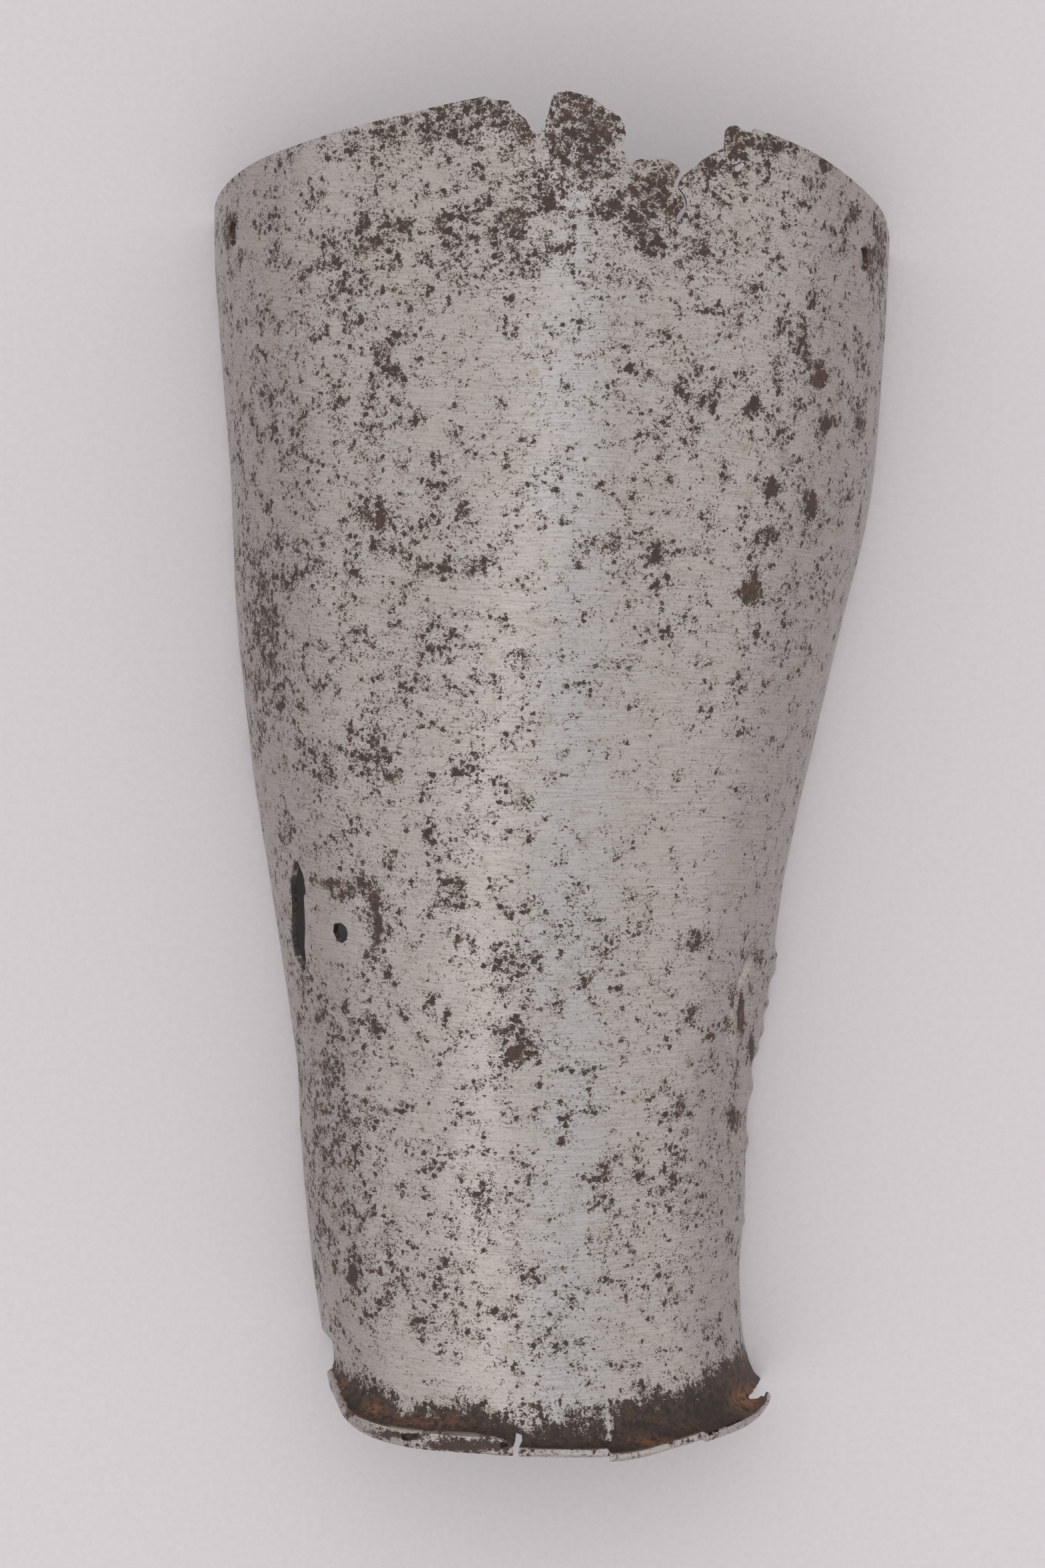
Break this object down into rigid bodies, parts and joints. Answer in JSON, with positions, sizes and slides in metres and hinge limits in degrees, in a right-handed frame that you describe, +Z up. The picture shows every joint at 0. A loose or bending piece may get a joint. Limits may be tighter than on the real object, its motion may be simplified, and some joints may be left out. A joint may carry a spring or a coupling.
{
  "type": "metal arm guard",
  "caption": "Outer forearm plate of steel, a tapering half tube with a flared, rolled wrist rim, a broken elbow edge, a strap slot and small holes.",
  "frame": {"origin": "under the middle of the plate's bounding box, at the level of the long edges that it lies on", "axes": "+Z up out of the crown, +Y along the arm to the elbow end, +X across, away from the side with the strap slot"},
  "size_m": [0.1222, 0.2317, 0.0582],
  "materials": {
    "steel": "polished steel with fine lines round the arm, dark specks and pits, and rust in the wrist flare"
  },
  "bodies": {
    "root": {"arm_plate": "steel"}
  },
  "joints": []
}
